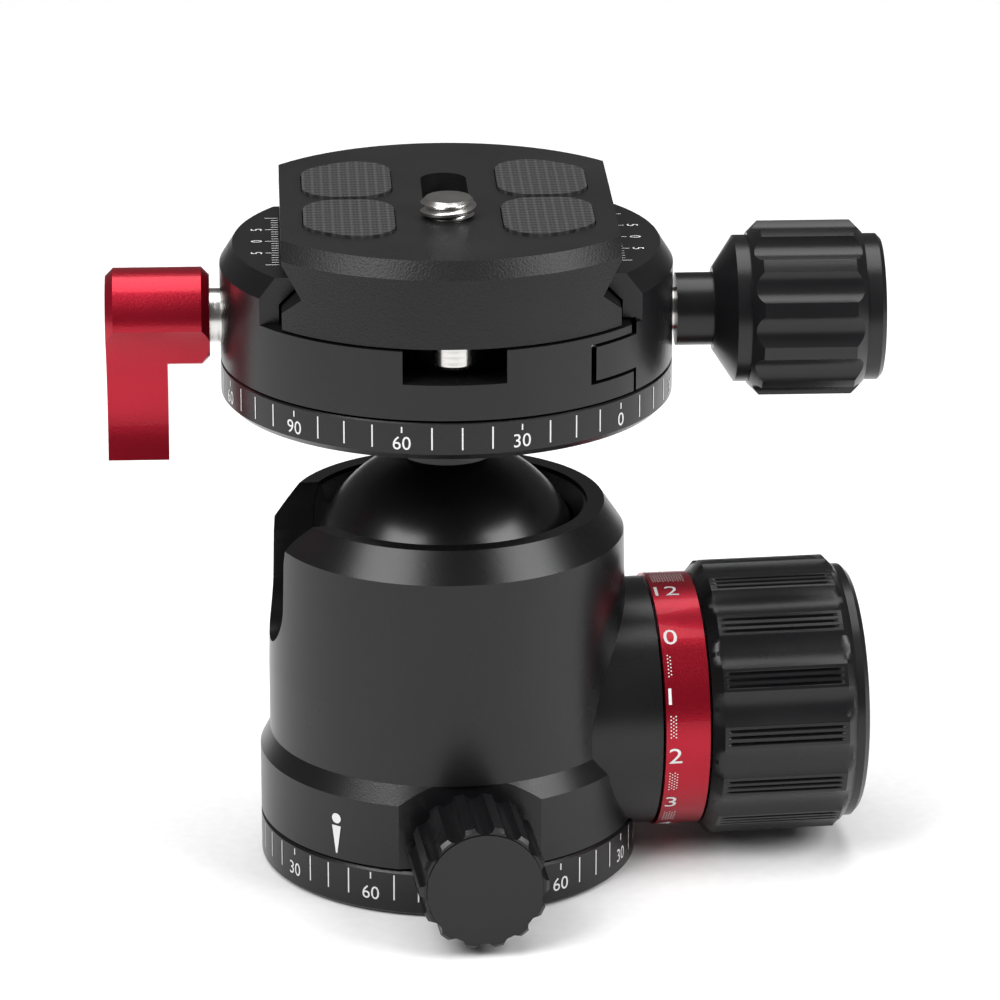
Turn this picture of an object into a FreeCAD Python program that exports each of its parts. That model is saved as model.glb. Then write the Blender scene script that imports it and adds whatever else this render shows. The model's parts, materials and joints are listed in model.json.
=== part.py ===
import FreeCAD, Part
import math
import os
import Sketcher
from FreeCAD import Vector, Rotation, Placement

doc = FreeCAD.newDocument("ball_head")
sheet = doc.addObject("Spreadsheet::Sheet", "Sheet")

# Driving sizes in millimetres and degrees, read from the photograph.
# The frame: origin at the bottom centre of the base, Z up, X along the clamp knob.
sizes = {
    # fits and small gaps
    "running_gap": 0.05,
    "air_gap": 0.3,
    "seat_gap": 0.12,
    "body_turn": 5.0,
    # base with its pan hub
    "base_radius": 22.1,
    "base_height": 5.3,
    "base_edge": 0.3,
    "hub_radius": 11.0,
    "hub_top": 11.0,
    "hub_neck_radius": 7.0,
    "hub_neck_top": 12.2,
    "brake_groove_depth": 0.9,
    "brake_groove_half": 2.7,
    "tripod_bore_radius": 4.1,
    "retainer_radius": 12.8,
    "retainer_thickness": 1.0,
    # housing
    "skirt_bottom": 5.6,
    "skirt_edge_low": 13.4,
    "skirt_edge_high": 15.6,
    "skirt_flat": 20.5,
    "wall_radius": 20.95,
    "wall_shoulder_radius": 20.6,
    "shoulder_height": 39.9,
    "shoulder_low": 24.0,
    "rim_radius": 18.3,
    "rim_top": 43.3,
    "floor_top": 10.7,
    "cavity_radius": 16.3,
    "boss_radius": 14.6,
    "boss_end": 23.4,
    "boss_start": 14.0,
    "main_axis_height": 17.2,
    "spindle_bore_radius": 4.05,
    # notch that lets the head drop to the side
    "notch_radius": 6.0,
    "notch_round_height": 33.0,
    "notch_flare_height": 38.2,
    "notch_mid_half": 6.6,
    "notch_mid_rise": 3.0,
    "notch_top_half": 8.6,
    # ball and stem
    "ball_radius": 16.0,
    "ball_height": 34.2,
    "neck_radius": 5.5,
    "ball_flat_height": 24.5,
    "disc_bottom": 56.6,
    "spigot_radius": 4.0,
    "spigot_top": 60.4,
    "stem_thread_radius": 2.5,
    "stem_thread_bottom": 51.5,
    # ball seat and the wedge under it
    "seat_radius": 16.1,
    "seat_bottom": 21.2,
    "seat_top": 27.2,
    "seat_bore_radius": 6.0,
    "wedge_radius": 16.25,
    "wedge_bottom": 12.8,
    "wedge_top": 21.0,
    "wedge_bore_radius": 4.6,
    # retaining ring round the ball
    "ring_radius": 16.25,
    "ring_low": 37.6,
    "ring_top": 42.9,
    "ring_low_gap": 0.1616831,
    "ring_mid_gap": 0.144736,
    "ring_mid_rise": 1.9,
    "ring_neck_gap": 0.3267419,
    "ring_neck_rise": 1.7,
    "ring_top_inner": 15.9,
    # main lock: spindle, tension ring, knob
    "spindle_radius": 4.0,
    "spindle_start": 10.0,
    "spindle_tip": 5.0,
    "tool_reach": 1.0,
    "spindle_tip_radius": 1.2,
    "spindle_end": 45.0,
    "tension_radius": 14.9,
    "tension_start": 23.7,
    "tension_end": 28.9,
    "tension_bore_radius": 6.3,
    "sleeve_radius": 6.2,
    "sleeve_start": 23.6,
    "knob_radius": 16.2,
    "knob_start": 29.2,
    "knob_end": 46.3,
    "knob_edge": 1.2,
    "knob_lead_radius": 14.9,
    "knob_flute_radius": 4.2,
    "knob_flute_depth": 0.5,
    "knob_flute_count": 15,
    "knob_cap_radius": 15.0,
    "knob_cap_start": 45.2,
    "knob_cap_end": 47.8,
    "knob_cap_edge": 0.6,
    "knob_recess_radius": 13.4,
    "cap_dish_radius": 12.4,
    "cap_dish_depth": 0.6,
    # pan lock knob at the front
    "pan_axis_height": 8.2,
    "pan_knob_radius": 7.4,
    "pan_knob_start": 22.6,
    "pan_knob_end": 33.7,
    "pan_flute_radius": 1.2,
    "pan_flute_count": 14,
    "pan_flute_offset": 0.4,
    "pan_knob_edge": 0.4,
    "pan_cap_radius": 6.6,
    "pan_cap_depth": 0.6,
    "pan_cap_end": 33.9,
    "pan_screw_radius": 2.28,
    "pan_screw_start": 14.6,
    "pan_screw_end": 31.5,
    "pan_shoe_radius": 2.3,
    "pan_shoe_start": 10.4,
    "pan_shoe_end": 14.4,
    # scale disc and what holds the clamp on it
    "disc_radius": 26.0,
    "disc_top": 61.0,
    "disc_edge": 0.75,
    "disc_top_edge": 0.15,
    "disc_boss_radius": 9.0,
    "disc_boss_top": 63.9,
    "drum_radius": 11.0,
    "drum_top": 67.6,
    "screw_head_radius": 4.3,
    "screw_head_bottom": 65.2,
    "screw_head_top": 68.4,
    "screw_socket_radius": 2.3,
    "screw_socket_depth": 2.0,
    # clamp body
    "clamp_radius": 26.0,
    "clamp_bottom": 61.3,
    "web_top": 63.6,
    "clamp_bore_radius": 9.05,
    "clamp_cavity_radius": 11.3,
    "floor_height": 69.2,
    "jaw_top": 74.7,
    "jaw_edge_radius": 24.5,
    "jaw_edge_height": 72.3,
    "jaw_half_length": 14.6,
    "jaw_wall": 19.3,
    "lip_tip": 17.3,
    "lip_top": 18.1,
    "lip_low_height": 71.6,
    "lip_tip_height": 73.6,
    "recess_half": 5.8,
    "recess_floor": 65.4,
    "recess_depth_start": 17.6,
    "clamp_axis_height": 66.0,
    "slot_start": 15.4,
    "slot_low": 63.6,
    "slot_high": 68.3,
    "strip_end": 20.2,
    "shelf_end": 20.5,
    # moving jaw
    "jaw_block_start": 20.8,
    "tongue_start": 16.0,
    "tongue_low": 64.0,
    "tongue_high": 67.9,
    "jaw_floor_gap": 69.55,
    # clamp screw, guide pins and clamp knob
    "clamp_screw_radius": 2.5,
    "clamp_screw_start": 11.8,
    "clamp_screw_end": 45.5,
    "screw_bore_radius": 2.55,
    "pin_radius": 1.5,
    "pin_bore_radius": 1.55,
    "pin_start": 13.6,
    "pin_end": 20.6,
    "pin_spread": 12.5,
    "pin_play": 0.4,
    "clamp_neck_radius": 4.2,
    "clamp_neck_start": 26.35,
    "clamp_neck_end": 30.6,
    "clamp_flare_start_radius": 4.8,
    "clamp_flare_end": 33.0,
    "clamp_collar_radius": 8.45,
    "clamp_collar_end": 34.6,
    "clamp_knob_radius": 10.05,
    "clamp_knob_end": 47.8,
    "clamp_knob_edge": 1.3,
    "clamp_flute_radius": 2.6,
    "clamp_flute_depth": 0.9,
    "clamp_flute_count": 12,
    "clamp_cap_radius": 8.45,
    "clamp_cap_start": 46.8,
    "clamp_cap_end": 50.0,
    "clamp_cap_edge": 0.5,
    "clamp_recess_radius": 7.4,
    # panorama lock on the left
    "lever_shaft_radius": 3.1,
    "lever_shaft_bore_radius": 3.15,
    "lever_shaft_inner": 14.2,
    "lever_step": 20.5,
    "lever_screw_radius": 2.3,
    "lever_screw_bore_radius": 2.35,
    "lever_shaft_outer": 37.5,
    "lever_shoe_radius": 2.3,
    "lever_shoe_start": 11.15,
    "lever_shoe_end": 14.0,
    "lever_inner": 27.2,
    "lever_outer": 39.1,
    "lever_barrel_radius": 5.6,
    "lever_barrel_edge": 0.9,
    "lever_tail_inner": 32.1,
    "lever_tail_length": 16.6,
    "lever_tail_half": 4.3,
    "lever_tail_thin": 1.5,
    "lever_lip_half": 3.6,
    "lever_scoop_radius": 16.0,
    "lever_scoop_drop": 10.96,
    "lever_tail_mid": 11.95,
    "lever_tail_back": 0.72,
    "lever_lip_thickness": 1.9,
    # quick release plate
    "plate_bottom": 69.45,
    "plate_top": 79.4,
    "plate_half_width": 19.0,
    "plate_waist": 16.8,
    "plate_flange_top": 71.4,
    "plate_waist_height": 73.5,
    "plate_shoulder_height": 77.0,
    "plate_radius": 25.7,
    "plate_edge_in": 1.0,
    "plate_edge_height": 77.4,
    "camera_slot_half": 2.65,
    "camera_slot_back": 11.5,
    "camera_place": 7.0,
    "camera_well_half": 7.0,
    "camera_well_top": 75.9,
    "pad_inner": 6.1,
    "pad_outer": 16.4,
    "pad_near": 0.6,
    "pad_bow_radius": 24.3,
    "pad_bow_shift": 6.0,
    "pad_depth": 0.9,
    "pad_proud": 0.35,
    "pad_corner": 4.0,
    "pad_gap": 0.12,
    # camera screw, its clip and the stop screws
    "thread_radius": 3.175,
    "thread_bottom": 79.7,
    "thread_top": 81.7,
    "thread_edge": 0.6,
    "thread_low_edge": 0.2,
    "undercut_radius": 2.4,
    "camera_head_radius": 6.4,
    "camera_head_bottom": 70.4,
    "camera_head_top": 73.9,
    "camera_driver_half": 0.8,
    "camera_driver_depth": 1.3,
    "clip_radius": 5.6,
    "clip_bore_radius": 2.45,
    "clip_bottom": 74.2,
    "clip_top": 75.0,
    "stop_head_radius": 2.35,
    "stop_head_low": 66.5,
    "stop_edge": 0.5,
    "stop_thread_radius": 1.25,
    "stop_thread_top": 73.0,
    "stop_place": 22.1,
}

# Sizes that follow from the driving ones.
derived = {
    "pad_floor": "plate_top - pad_depth",
    "pad_top": "plate_top + pad_proud",
    "over_plate": "plate_top + tool_reach",
    "camera_slot_front": "camera_place + camera_slot_half",
    "camera_well_front": "camera_place + camera_well_half",
    "camera_well_back": "camera_slot_back - camera_slot_half + camera_well_half",
    "thread_low_radius": "thread_radius - thread_low_edge",
    "plate_top_radius": "plate_radius - plate_edge_in",
    "groove_low": "pan_axis_height - brake_groove_half",
    "groove_high": "pan_axis_height + brake_groove_half",
    "groove_radius": "hub_radius - brake_groove_depth",
    "retainer_top": "hub_top + retainer_thickness",
    "knob_edge_radius": "knob_radius - knob_edge",
    "knob_edge_start": "knob_start + knob_edge",
    "knob_edge_end": "knob_end - knob_edge",
    "clamp_edge_radius": "clamp_knob_radius - clamp_knob_edge",
    "clamp_edge_start": "clamp_collar_end + clamp_knob_edge",
    "clamp_edge_end": "clamp_knob_end - clamp_knob_edge",
    "base_edge_radius": "base_radius - base_edge",
    "base_edge_top": "base_height - base_edge",
    "disc_edge_radius": "disc_radius - disc_edge",
    "disc_edge_height": "disc_bottom + disc_edge",
    "disc_top_radius": "disc_radius - disc_top_edge",
    "disc_rim_height": "disc_top - disc_top_edge",
    "housing_bore": "hub_radius + running_gap",
    "ring_clear": "base_radius + air_gap",
    "over_top": "rim_top + tool_reach",
    "notch_mid_height": "notch_flare_height + notch_mid_rise",
    "ring_mid_height": "ring_low + ring_mid_rise",
    "ring_neck_height": "ring_mid_height + ring_neck_rise",
    "ring_low_inner": "sqrt((ball_radius + ring_low_gap)^2 - (ring_low - ball_height)^2)",
    "ring_mid_inner": "sqrt((ball_radius + ring_mid_gap)^2 - (ring_mid_height - ball_height)^2)",
    "ring_neck_inner": "sqrt((ball_radius + ring_neck_gap)^2 - (ring_neck_height - ball_height)^2)",
    "disc_bore": "spigot_radius + running_gap / 5",
    "cap_outer_radius": "knob_cap_radius - knob_cap_edge",
    "cap_inner_end": "knob_cap_end - knob_cap_edge",
    "cap_dish_floor": "knob_cap_end - cap_dish_depth",
    "clamp_cap_edge_radius": "clamp_cap_radius - clamp_cap_edge",
    "clamp_cap_edge_end": "clamp_cap_end - clamp_cap_edge",
    "pan_edge_radius": "pan_knob_radius - pan_knob_edge",
    "pan_edge_start": "pan_knob_start + pan_knob_edge",
    "pan_edge_end": "pan_knob_end - pan_knob_edge",
    "pan_cap_floor": "pan_knob_end - pan_cap_depth",
    "pan_cap_fit": "pan_cap_radius + running_gap",
    "thread_edge_radius": "thread_radius - thread_edge",
    "thread_edge_top": "thread_top - thread_edge",
    "thread_edge_low": "thread_bottom + thread_low_edge",
    "driver_top": "camera_head_bottom + camera_driver_depth",
    "screw_socket_floor": "screw_head_top - screw_socket_depth",
    "drum_bore": "stem_thread_radius + running_gap",
    "drum_well": "screw_head_radius + running_gap * 2",
    "lever_edge_radius": "lever_barrel_radius - lever_barrel_edge",
    "lever_edge_inner": "lever_inner + lever_barrel_edge",
    "lever_edge_outer": "lever_outer - lever_barrel_edge",
    "stop_edge_low": "stop_head_low + stop_edge",
    "stop_edge_radius": "stop_head_radius - stop_edge",
    "pan_bore": "pan_shoe_radius + running_gap",
    "knob_flute_centre": "knob_radius + knob_flute_radius - knob_flute_depth",
    "pan_flute_centre": "pan_knob_radius + pan_flute_offset",
    "clamp_flute_centre": "clamp_knob_radius + clamp_flute_radius - clamp_flute_depth",
    "jaw_shell_end": "jaw_block_start + tool_reach",
    "lever_lip_back": "lever_lip_half - lever_lip_thickness",
    "lever_scoop_across": "lever_scoop_radius + lever_tail_thin",
    "lever_step_bore": "lever_step - air_gap",
}

row = 1
for name, value in sizes.items():
    sheet.set("A%d" % row, name)
    sheet.set("B%d" % row, str(value))
    sheet.setAlias("B%d" % row, name)
    row += 1
for name, formula in derived.items():
    sheet.set("A%d" % row, name)
    sheet.set("B%d" % row, "=" + formula)
    sheet.setAlias("B%d" % row, name)
    row += 1
doc.recompute()


def value(word):
    # a word from the sheet, with an optional leading minus, or zero
    if word == "0":
        return 0.0
    if word.startswith("-"):
        return -float(getattr(sheet, word[1:]))
    return float(getattr(sheet, word))


def bound(word):
    if word.startswith("-"):
        return "-Sheet." + word[1:]
    return "Sheet." + word


def new_body(label):
    body = doc.addObject("PartDesign::Body", label)
    body.Label = label
    return body


def plane_of(body, role):
    for feature in body.Origin.OriginFeatures:
        if feature.Role == role:
            return feature
    raise ValueError("no plane " + role)


def new_sketch(body, name, role, lift="0"):
    sketch = body.newObject("Sketcher::SketchObject", body.Label + "_" + name)
    sketch.AttachmentSupport = [(plane_of(body, role), "")]
    sketch.MapMode = "FlatFace"
    if lift != "0":
        sketch.setExpression("AttachmentOffset.Base.z", bound(lift))
    return sketch


def fix_point(sketch, geo, pos, across, up):
    for kind, word in (("DistanceX", across), ("DistanceY", up)):
        if word == "0":
            number = sketch.addConstraint(
                Sketcher.Constraint("PointOnObject", geo, pos, -2 if kind == "DistanceX" else -1)
            )
        else:
            number = sketch.addConstraint(Sketcher.Constraint(kind, geo, pos, value(word)))
            sketch.setExpression("Constraints[%d]" % number, bound(word))


def add_outline(sketch, points):
    # closed outline of straight edges, every corner tied to words of the sheet
    count = len(points)
    corners = [Vector(value(a), value(b), 0) for a, b in points]
    first = sketch.GeometryCount
    for i in range(count):
        sketch.addGeometry(Part.LineSegment(corners[i], corners[(i + 1) % count]), False)
    for i in range(count):
        after = (i + 1) % count
        sketch.addConstraint(Sketcher.Constraint("Coincident", first + i, 2, first + after, 1))
    for i, (a, b) in enumerate(points):
        fix_point(sketch, first + i, 1, a, b)


def add_circle(sketch, across, up, radius):
    centre = Vector(value(across), value(up), 0)
    geo = sketch.addGeometry(Part.Circle(centre, Vector(0, 0, 1), value(radius)), False)
    fix_point(sketch, geo, 3, across, up)
    number = sketch.addConstraint(Sketcher.Constraint("Radius", geo, value(radius)))
    sketch.setExpression("Constraints[%d]" % number, bound(radius))


def turn(body, name, role, axis, points, cut=False):
    # solid or groove of revolution about the sketch's own axis
    sketch = new_sketch(body, name + "_profile", role)
    add_outline(sketch, points)
    kind = "PartDesign::Groove" if cut else "PartDesign::Revolution"
    feature = body.newObject(kind, body.Label + "_" + name)
    feature.Profile = sketch
    feature.ReferenceAxis = (sketch, [axis])
    feature.Angle = 360
    doc.recompute()
    return feature


def about_z(body, name, points, cut=False):
    return turn(body, name, "XZ_Plane", "V_Axis", points, cut)


def about_x(body, name, points, cut=False):
    return turn(body, name, "XZ_Plane", "H_Axis", points, cut)


def pad(body, sketch, name, length, reverse=False, both=False):
    feature = body.newObject("PartDesign::Pad", body.Label + "_" + name)
    feature.Profile = sketch
    feature.setExpression("Length", length)
    feature.Reversed = reverse
    feature.Midplane = both
    doc.recompute()
    return feature


def pocket(body, sketch, name, length, reverse=False, both=False):
    # the cut's direction is checked by the volume it takes away
    before = body.Tip.Shape.Volume
    feature = body.newObject("PartDesign::Pocket", body.Label + "_" + name)
    feature.Profile = sketch
    feature.setExpression("Length", length)
    feature.Reversed = reverse
    feature.Midplane = both
    doc.recompute()
    if feature.Shape.Volume > before - 1e-6:
        raise ValueError(feature.Name + " cuts nothing")
    return feature


def around(body, feature, axis_sketch, axis, count_word):
    pattern = body.newObject("PartDesign::PolarPattern", feature.Name + "_around")
    pattern.Originals = [feature]
    pattern.Axis = (axis_sketch, [axis])
    pattern.Angle = 360
    pattern.setExpression("Occurrences", "Sheet." + count_word)
    body.Tip = pattern
    doc.recompute()
    return pattern


def place(body, turn_by=None, quarter=0, lift=None):
    body.Placement = Placement(Vector(0, 0, 0), Rotation(Vector(0, 0, 1), quarter + 1))
    angle = "%d" % quarter if turn_by is None else "%d + Sheet.%s" % (quarter, turn_by)
    body.setExpression("Placement.Rotation.Angle", angle)
    if lift:
        body.setExpression("Placement.Base.z", "Sheet." + lift)


parts = []


def finish(body):
    parts.append(body)
    return body


# Base ring with the pan hub and the tripod thread
def build_base():
    body = new_body("base_ring")
    about_z(body, "ring", [
        ("tripod_bore_radius", "0"), ("base_edge_radius", "0"), ("base_radius", "base_edge"),
        ("base_radius", "base_edge_top"), ("base_edge_radius", "base_height"),
        ("hub_radius", "base_height"), ("hub_radius", "groove_low"),
        ("groove_radius", "groove_low"), ("groove_radius", "groove_high"),
        ("hub_radius", "groove_high"), ("hub_radius", "hub_top"),
        ("hub_neck_radius", "hub_top"), ("hub_neck_radius", "hub_neck_top"),
        ("tripod_bore_radius", "hub_neck_top"),
    ])
    place(body, "body_turn")
    finish(body)
    washer = new_body("pan_retainer")
    about_z(washer, "washer", [
        ("hub_neck_radius", "hub_top"), ("retainer_radius", "hub_top"),
        ("retainer_radius", "retainer_top"), ("hub_neck_radius", "retainer_top"),
    ])
    place(washer, "body_turn")
    finish(washer)


# Notch outline, shared by the housing and the retaining ring
def cut_notch(body):
    sketch = new_sketch(body, "notch_outline", "YZ_Plane")
    points = [
        ("notch_radius", "notch_round_height"), ("notch_radius", "notch_flare_height"),
        ("notch_mid_half", "notch_mid_height"), ("notch_top_half", "over_top"),
        ("-notch_top_half", "over_top"), ("-notch_mid_half", "notch_mid_height"),
        ("-notch_radius", "notch_flare_height"), ("-notch_radius", "notch_round_height"),
    ]
    corners = [Vector(value(a), value(b), 0) for a, b in points]
    for i in range(len(points) - 1):
        sketch.addGeometry(Part.LineSegment(corners[i], corners[i + 1]), False)
    for i in range(len(points) - 2):
        sketch.addConstraint(Sketcher.Constraint("Coincident", i, 2, i + 1, 1))
    for i, (a, b) in enumerate(points[:-1]):
        fix_point(sketch, i, 1, a, b)
    fix_point(sketch, len(points) - 2, 2, *points[-1])
    centre = Vector(0, value("notch_round_height"), 0)
    circle = Part.Circle(centre, Vector(0, 0, 1), value("notch_radius"))
    arc = sketch.addGeometry(Part.ArcOfCircle(circle, math.pi, 2 * math.pi), False)
    last = len(points) - 2
    sketch.addConstraint(Sketcher.Constraint("Coincident", arc, 1, last, 2))
    sketch.addConstraint(Sketcher.Constraint("Coincident", arc, 2, 0, 1))
    number = sketch.addConstraint(Sketcher.Constraint("DistanceY", arc, 3, value("notch_round_height")))
    sketch.setExpression("Constraints[%d]" % number, bound("notch_round_height"))
    doc.recompute()
    pocket(body, sketch, "notch", "Sheet.base_radius", reverse=False)


# Housing with its lock boss, ball cavity, front flat and drop notch
def build_housing():
    body = new_body("housing")
    about_z(body, "outside", [
        ("0", "skirt_bottom"), ("base_radius", "skirt_bottom"), ("base_radius", "skirt_edge_low"),
        ("wall_radius", "skirt_edge_high"), ("wall_radius", "shoulder_low"),
        ("wall_shoulder_radius", "shoulder_height"), ("rim_radius", "rim_top"), ("0", "rim_top"),
    ])
    sketch = new_sketch(body, "boss_circle", "YZ_Plane", "boss_start")
    add_circle(sketch, "0", "main_axis_height", "boss_radius")
    pad(body, sketch, "boss", "Sheet.boss_end - Sheet.boss_start")
    about_z(body, "cavity", [
        ("0", "-air_gap"), ("ring_clear", "-air_gap"), ("ring_clear", "skirt_bottom"),
        ("housing_bore", "skirt_bottom"), ("housing_bore", "floor_top"),
        ("cavity_radius", "floor_top"), ("cavity_radius", "over_top"), ("0", "over_top"),
    ], cut=True)
    sketch = new_sketch(body, "spindle_hole", "YZ_Plane")
    add_circle(sketch, "0", "main_axis_height", "spindle_bore_radius")
    pocket(body, sketch, "spindle_bore", "Sheet.boss_end + 1", reverse=True)
    sketch = new_sketch(body, "pan_hole", "XZ_Plane")
    add_circle(sketch, "0", "pan_axis_height", "pan_bore")
    pocket(body, sketch, "pan_bore", "Sheet.base_radius + 1", reverse=True)
    sketch = new_sketch(body, "front_flat", "XY_Plane", "skirt_bottom")
    add_outline(sketch, [
        ("-base_radius", "-skirt_flat"), ("-base_radius", "-ring_clear"),
        ("base_radius", "-ring_clear"), ("base_radius", "-skirt_flat"),
    ])
    pocket(body, sketch, "flat", "Sheet.skirt_edge_high - Sheet.skirt_bottom", reverse=True)
    cut_notch(body)
    place(body, "body_turn")
    finish(body)


# Retaining ring that holds the ball down, cut by the same notch
def build_ring():
    body = new_body("retaining_ring")
    about_z(body, "ring", [
        ("ring_radius", "ring_low"), ("ring_radius", "ring_top"), ("ring_top_inner", "ring_top"),
        ("ring_neck_inner", "ring_neck_height"), ("ring_mid_inner", "ring_mid_height"),
        ("ring_low_inner", "ring_low"),
    ])
    cut_notch(body)
    place(body, "body_turn")
    finish(body)


def globe(name, radius):
    # sphere about the ball's centre
    solid = doc.addObject("Part::Sphere", name)
    solid.setExpression("Radius", radius)
    solid.setExpression("Placement.Base.z", "Sheet.ball_height")
    return solid


# Ball with its flat foot, neck and threaded spigot
def build_ball():
    high = "Sheet.ball_height + Sheet.ball_radius + 1"
    trimmed = overlap("ball_round", [
        globe("ball_sphere", "Sheet.ball_radius"),
        post("ball_trim", "cavity_radius", "Sheet.ball_flat_height", high),
    ])
    joined = join("ball_joined", [
        trimmed,
        post("ball_neck", "neck_radius", "Sheet.ball_height", "Sheet.disc_bottom"),
        post("ball_spigot", "spigot_radius", "Sheet.ball_height", "Sheet.spigot_top"),
    ])
    hole = post("ball_hole", "stem_thread_radius", "Sheet.stem_thread_bottom", "Sheet.disc_top")
    result = cut("ball", joined, hole)
    result.Label = "ball"
    finish(result)


# Seat under the ball, with its spherical hollow
def build_seat():
    tools = join("seat_tools", [
        globe("seat_hollow", "Sheet.ball_radius + Sheet.seat_gap"),
        post("seat_bore", "seat_bore_radius", "Sheet.seat_bottom - 1", "Sheet.seat_top"),
    ])
    blank = post("seat_blank", "seat_radius", "Sheet.seat_bottom", "Sheet.seat_top")
    result = cut("ball_seat", blank, tools)
    result.Label = "ball_seat"
    finish(result)


# Wedge block under the seat, bored for the spindle and hollowed clear of the ball
def build_wedge():
    tools = join("wedge_tools", [
        globe("wedge_hollow", "Sheet.ball_radius + Sheet.air_gap"),
        drill("wedge_hole", "wedge_bore_radius", "0", "Sheet.wedge_radius + 1", "0", "main_axis_height"),
    ])
    blank = post("wedge_blank", "wedge_radius", "Sheet.wedge_bottom", "Sheet.wedge_top")
    result = cut("wedge_block", blank, tools)
    result.Label = "wedge_block"
    place(result, "body_turn")
    finish(result)


# Main lock: spindle, red tension ring, fluted knob and its end cap
def build_main_lock():
    spindle = new_body("lock_spindle")
    about_x(spindle, "shaft", [
        ("spindle_tip", "0"), ("spindle_tip", "spindle_tip_radius"),
        ("spindle_start", "spindle_radius"), ("sleeve_start", "spindle_radius"),
        ("sleeve_start", "sleeve_radius"), ("knob_start", "sleeve_radius"),
        ("knob_start", "spindle_radius"), ("spindle_end", "spindle_radius"), ("spindle_end", "0"),
    ])
    place(spindle, "body_turn", 0, "main_axis_height")
    finish(spindle)
    ring = new_body("tension_ring")
    about_x(ring, "ring", [
        ("tension_start", "tension_bore_radius"), ("tension_start", "tension_radius"),
        ("tension_end", "tension_radius"), ("tension_end", "tension_bore_radius"),
    ])
    place(ring, "body_turn", 0, "main_axis_height")
    finish(ring)
    knob = new_body("lock_knob")
    about_x(knob, "turned", [
        ("knob_start", "spindle_radius"), ("knob_start", "knob_lead_radius"),
        ("knob_edge_start", "knob_radius"), ("knob_edge_end", "knob_radius"),
        ("knob_end", "knob_edge_radius"), ("knob_end", "knob_recess_radius"),
        ("knob_cap_start", "knob_recess_radius"), ("knob_cap_start", "spindle_radius"),
    ])
    flutes(knob, "knob_flute_centre", "knob_flute_radius", "knob_flute_count", "knob_start", "knob_end")
    place(knob, "body_turn", 0, "main_axis_height")
    finish(knob)
    cap = new_body("lock_knob_cap")
    about_x(cap, "cap", [
        ("knob_cap_start", "0"), ("knob_cap_start", "knob_recess_radius"),
        ("knob_end", "knob_recess_radius"), ("knob_end", "knob_cap_radius"),
        ("cap_inner_end", "knob_cap_radius"), ("knob_cap_end", "cap_outer_radius"),
        ("knob_cap_end", "cap_dish_radius"), ("cap_dish_floor", "cap_dish_radius"),
        ("cap_dish_floor", "0"),
    ])
    place(cap, "body_turn", 0, "main_axis_height")
    finish(cap)


def flutes(body, centre_word, radius_word, count_word, start_word, end_word):
    # finger scallops cut along the turning axis and repeated round it
    sketch = new_sketch(body, "flute_circle", "YZ_Plane", start_word)
    add_circle(sketch, "0", centre_word, radius_word)
    length = "Sheet.%s - Sheet.%s" % (end_word, start_word)
    feature = pocket(body, sketch, "flute", length, reverse=True)
    around(body, feature, feature.Profile[0], "N_Axis", count_word)


# Pan lock: brake shoe, screw, toothed knob and face cap
def build_pan_lock():
    shoe = new_body("pan_brake_shoe")
    about_x(shoe, "shoe", [
        ("pan_shoe_start", "0"), ("pan_shoe_start", "pan_shoe_radius"),
        ("pan_shoe_end", "pan_shoe_radius"), ("pan_shoe_end", "0"),
    ])
    screw = new_body("pan_screw")
    about_x(screw, "shaft", [
        ("pan_screw_start", "0"), ("pan_screw_start", "pan_screw_radius"),
        ("pan_screw_end", "pan_screw_radius"), ("pan_screw_end", "0"),
    ])
    knob = new_body("pan_knob")
    about_x(knob, "turned", [
        ("pan_knob_start", "pan_screw_radius"), ("pan_knob_start", "pan_edge_radius"),
        ("pan_edge_start", "pan_knob_radius"), ("pan_edge_end", "pan_knob_radius"),
        ("pan_knob_end", "pan_edge_radius"), ("pan_knob_end", "pan_cap_fit"),
        ("pan_cap_floor", "pan_cap_fit"), ("pan_cap_floor", "0"), ("pan_screw_end", "0"),
        ("pan_screw_end", "pan_screw_radius"),
    ])
    flutes(knob, "pan_flute_centre", "pan_flute_radius", "pan_flute_count", "pan_knob_start", "pan_knob_end")
    cap = new_body("pan_knob_cap")
    about_x(cap, "cap", [
        ("pan_cap_floor", "0"), ("pan_cap_floor", "pan_cap_radius"),
        ("pan_cap_end", "pan_cap_radius"), ("pan_cap_end", "0"),
    ])
    for body in (shoe, screw, knob, cap):
        place(body, "body_turn", -90, "pan_axis_height")
        finish(body)


# Scale disc, pan drum and the screw that ties both to the ball
def build_disc():
    disc = new_body("scale_disc")
    about_z(disc, "disc", [
        ("disc_bore", "disc_bottom"), ("disc_edge_radius", "disc_bottom"),
        ("disc_radius", "disc_edge_height"), ("disc_radius", "disc_rim_height"),
        ("disc_top_radius", "disc_top"), ("disc_boss_radius", "disc_top"),
        ("disc_boss_radius", "disc_boss_top"), ("disc_bore", "disc_boss_top"),
    ])
    finish(disc)
    drum = new_body("pan_drum")
    about_z(drum, "drum", [
        ("drum_bore", "disc_boss_top"), ("drum_radius", "disc_boss_top"),
        ("drum_radius", "drum_top"), ("drum_well", "drum_top"),
        ("drum_well", "screw_head_bottom"), ("drum_bore", "screw_head_bottom"),
    ])
    finish(drum)
    screw = new_body("neck_screw")
    about_z(screw, "screw", [
        ("0", "stem_thread_bottom"), ("stem_thread_radius", "stem_thread_bottom"),
        ("stem_thread_radius", "screw_head_bottom"), ("screw_head_radius", "screw_head_bottom"),
        ("screw_head_radius", "screw_head_top"), ("screw_socket_radius", "screw_head_top"),
        ("screw_socket_radius", "screw_socket_floor"), ("0", "screw_socket_floor"),
    ])
    finish(screw)


def round_blank(name, low, high):
    blank = doc.addObject("Part::Cylinder", name)
    blank.setExpression("Radius", "Sheet.clamp_radius")
    blank.setExpression("Height", "Sheet.%s - Sheet.%s" % (high, low))
    blank.setExpression("Placement.Base.z", "Sheet." + low)
    return blank


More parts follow.
